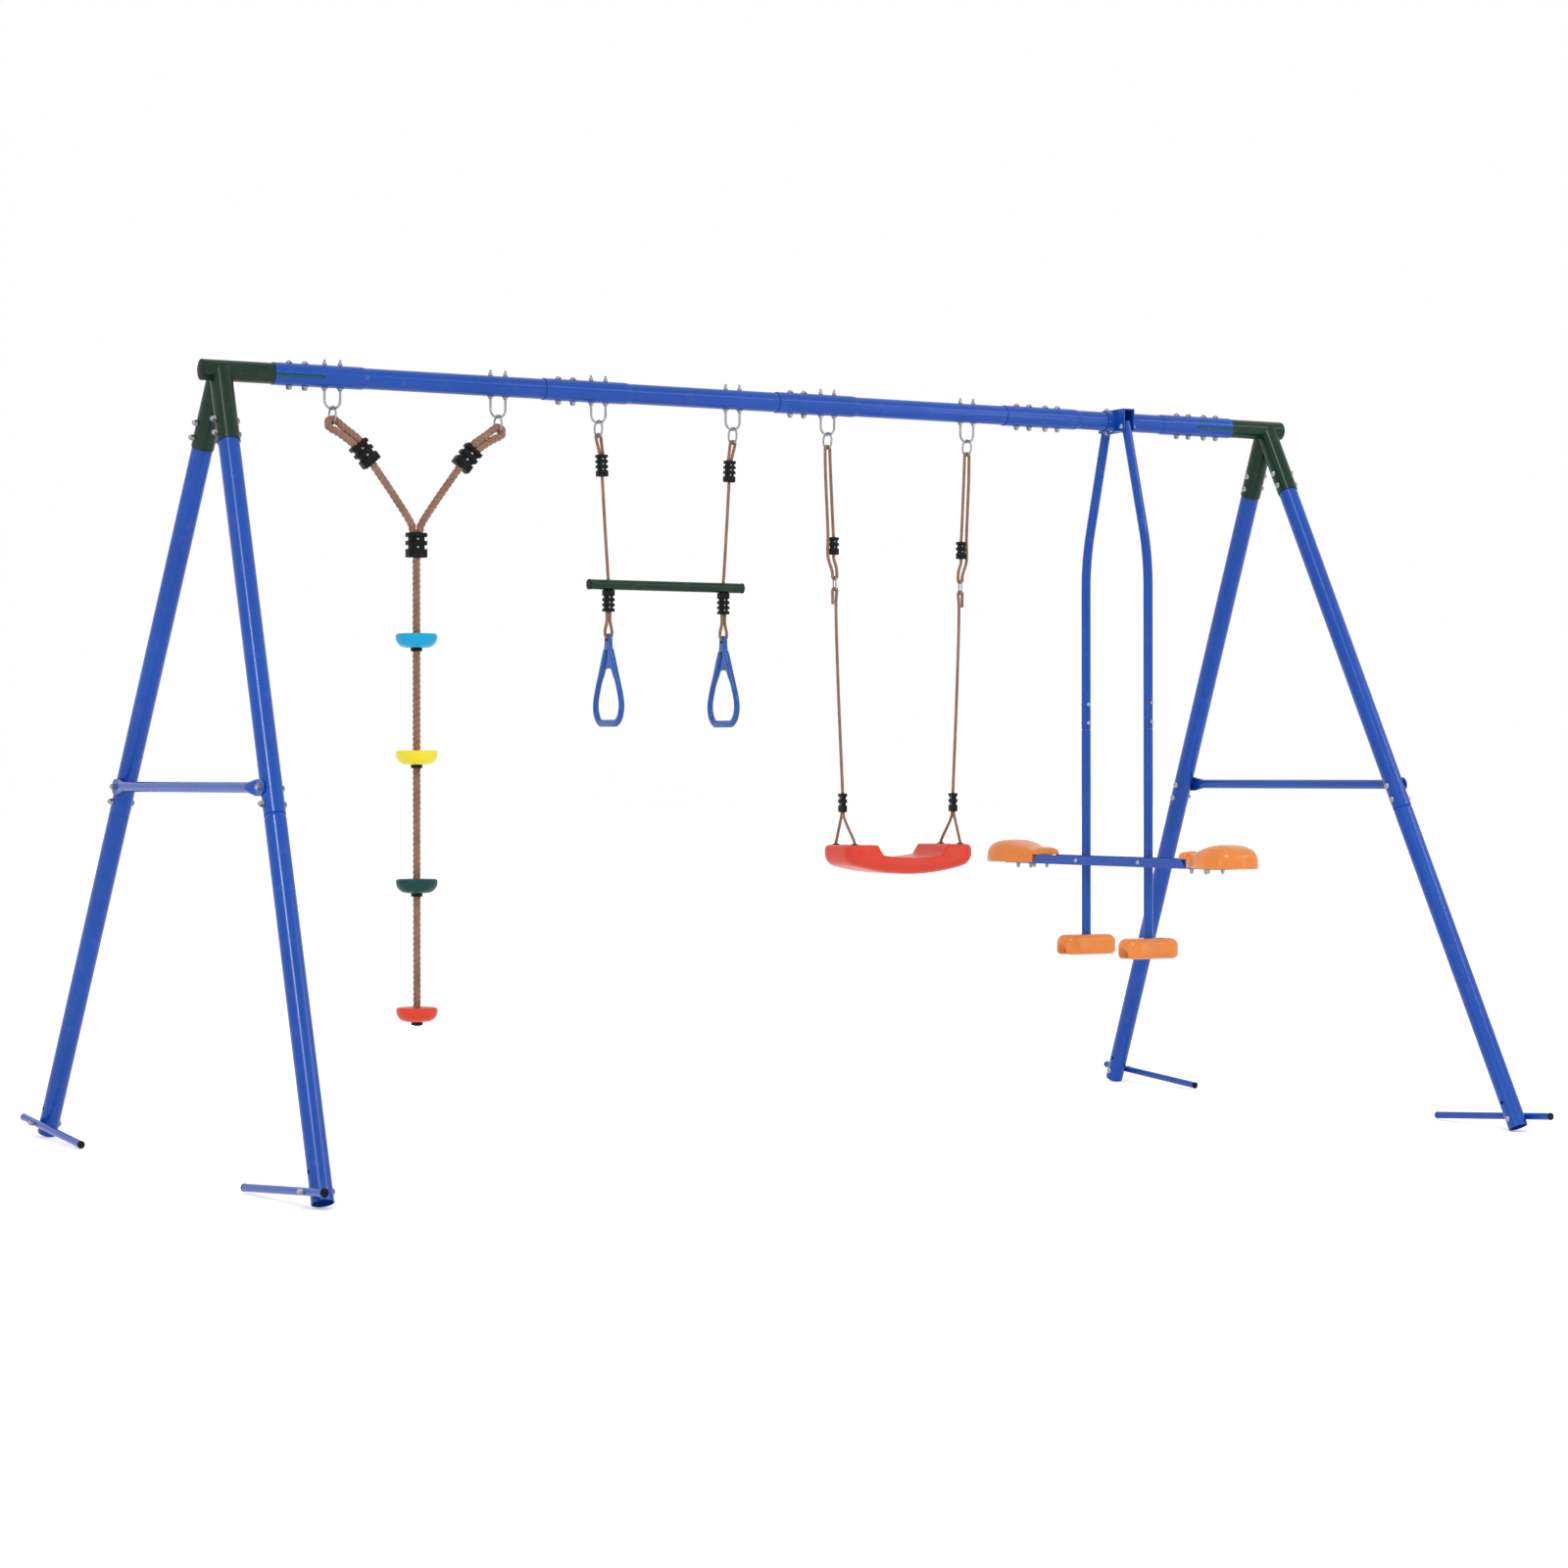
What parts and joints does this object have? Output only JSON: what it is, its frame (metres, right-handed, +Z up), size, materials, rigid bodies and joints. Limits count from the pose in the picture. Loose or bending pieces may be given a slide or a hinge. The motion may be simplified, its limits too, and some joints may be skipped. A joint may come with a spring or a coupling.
{
  "type": "swing set",
  "caption": "Metal A-frame swing set with a beam that carries a disc climber, a trapeze with hand rings, a swing and a two seat glider.",
  "frame": {"origin": "on the ground under the middle of the beam, at the centre of the footprint's box", "axes": "+X along the beam from the climber to the glider, +Y towards the back, +Z up"},
  "size_m": [3.3988, 1.9642, 1.901],
  "materials": {
    "blue_coat": "gloss",
    "green_coat": "gloss",
    "black_plastic": "matte",
    "zinc": "satin",
    "rope": "matte",
    "cyan_plastic": "satin",
    "yellow_plastic": "satin",
    "teal_plastic": "satin",
    "red_plastic": "satin",
    "seat_plastic": "gloss",
    "orange_plastic": "gloss",
    "blue_plastic": "gloss"
  },
  "bodies": {
    "frame": {"corner_left": "green_coat", "corner_right": "green_coat", "beam_tube_1": "blue_coat", "beam_tube_2": "blue_coat", "beam_tube_3": "blue_coat", "beam_tube_4": "blue_coat", "upper_leg_fl": "blue_coat", "upper_leg_rl": "blue_coat", "upper_leg_fr": "blue_coat", "upper_leg_rr": "blue_coat", "lower_leg_fl": "blue_coat", "lower_leg_rl": "blue_coat", "lower_leg_fr": "blue_coat", "lower_leg_rr": "blue_coat", "crossbars": "blue_coat", "foot_bars": "blue_coat", "end_caps": "black_plastic", "frame_bolts": "zinc", "frame_nuts": "zinc", "u_bolts": "zinc", "glider_bracket": "blue_coat", "bracket_bolts": "zinc"},
    "climber_bridle": {"climber_rings": "zinc", "climber_rope_left": "rope", "climber_rope_right": "rope", "climber_clamps": "black_plastic"},
    "climber_line": {"climber_tail": "rope", "disc_cyan": "cyan_plastic", "disc_yellow": "yellow_plastic", "disc_green": "teal_plastic", "disc_red": "red_plastic", "disc_stops": "black_plastic"},
    "trapeze": {"trapeze_rings": "zinc", "trapeze_ropes": "rope", "trapeze_clamps": "black_plastic", "trapeze_bar": "green_coat", "trapeze_caps": "black_plastic"},
    "drop_left": {"drop_rope_left": "rope"},
    "drop_right": {"drop_rope_right": "rope"},
    "hand_ring_left": {"grip_left": "blue_plastic"},
    "hand_ring_right": {"grip_right": "blue_plastic"},
    "swing": {"swing_steel": "zinc", "swing_ropes": "rope", "swing_clamps": "black_plastic", "swing_seat": "seat_plastic"},
    "hanger_front": {"upper_hanger_front": "blue_coat", "lower_hanger_front": "blue_coat", "hanger_bolts_front": "zinc", "footrest_front": "orange_plastic"},
    "hanger_rear": {"upper_hanger_rear": "blue_coat", "lower_hanger_rear": "blue_coat", "hanger_bolts_rear": "zinc", "footrest_rear": "orange_plastic"},
    "seat_carrier": {"seat_beam": "blue_coat", "seat_beam_bolts": "zinc", "glider_seat_front": "orange_plastic", "glider_seat_rear": "orange_plastic"}
  },
  "joints": [
    {"name": "climber_sway", "type": "hinge", "parent": "frame", "child": "climber_bridle", "pos_m": [-1.0255, 0, 1.784], "axis": [1, 0, 0], "range_deg": [-40, 40]},
    {"name": "climber_line_sway", "type": "hinge", "parent": "climber_bridle", "child": "climber_line", "pos_m": [-1.0255, 0, 1.437], "axis": [0, 1, 0], "range_deg": [-25, 25]},
    {"name": "trapeze_sway", "type": "hinge", "parent": "frame", "child": "trapeze", "pos_m": [-0.3445, 0, 1.784], "axis": [1, 0, 0], "range_deg": [-45, 45]},
    {"name": "left_drop_sway", "type": "hinge", "parent": "trapeze", "child": "drop_left", "pos_m": [-0.507, 0, 1.3183], "axis": [1, 0, 0], "range_deg": [-35, 35]},
    {"name": "right_drop_sway", "type": "hinge", "parent": "trapeze", "child": "drop_right", "pos_m": [-0.182, 0, 1.3183], "axis": [1, 0, 0], "range_deg": [-35, 35]},
    {"name": "left_ring_turn", "type": "hinge", "parent": "drop_left", "child": "hand_ring_left", "pos_m": [-0.507, 0, 1.253], "axis": [1, 0, 0], "range_deg": [-50, 50]},
    {"name": "right_ring_turn", "type": "hinge", "parent": "drop_right", "child": "hand_ring_right", "pos_m": [-0.182, 0, 1.253], "axis": [1, 0, 0], "range_deg": [-50, 50]},
    {"name": "swing_sway", "type": "hinge", "parent": "frame", "child": "swing", "pos_m": [0.3355, 0, 1.784], "axis": [1, 0, 0], "range_deg": [-50, 50]},
    {"name": "front_hanger_sway", "type": "hinge", "parent": "frame", "child": "hanger_front", "pos_m": [1.025, -0.046, 1.844], "axis": [1, 0, 0], "range_deg": [-18, 18]},
    {"name": "rear_hanger_sway", "type": "hinge", "parent": "frame", "child": "hanger_rear", "pos_m": [1.025, 0.046, 1.844], "axis": [1, 0, 0], "range_deg": [-18, 18]},
    {"name": "seat_beam_tilt", "type": "hinge", "parent": "hanger_front", "child": "seat_carrier", "pos_m": [1.025, -0.144, 0.681], "axis": [1, 0, 0], "range_deg": [-5.76, 5.76]}
  ],
  "couplings": [
    {"joint": "rear_hanger_sway", "follows": "front_hanger_sway", "ratio": 1},
    {"joint": "seat_beam_tilt", "follows": "front_hanger_sway", "ratio": -0.32}
  ]
}
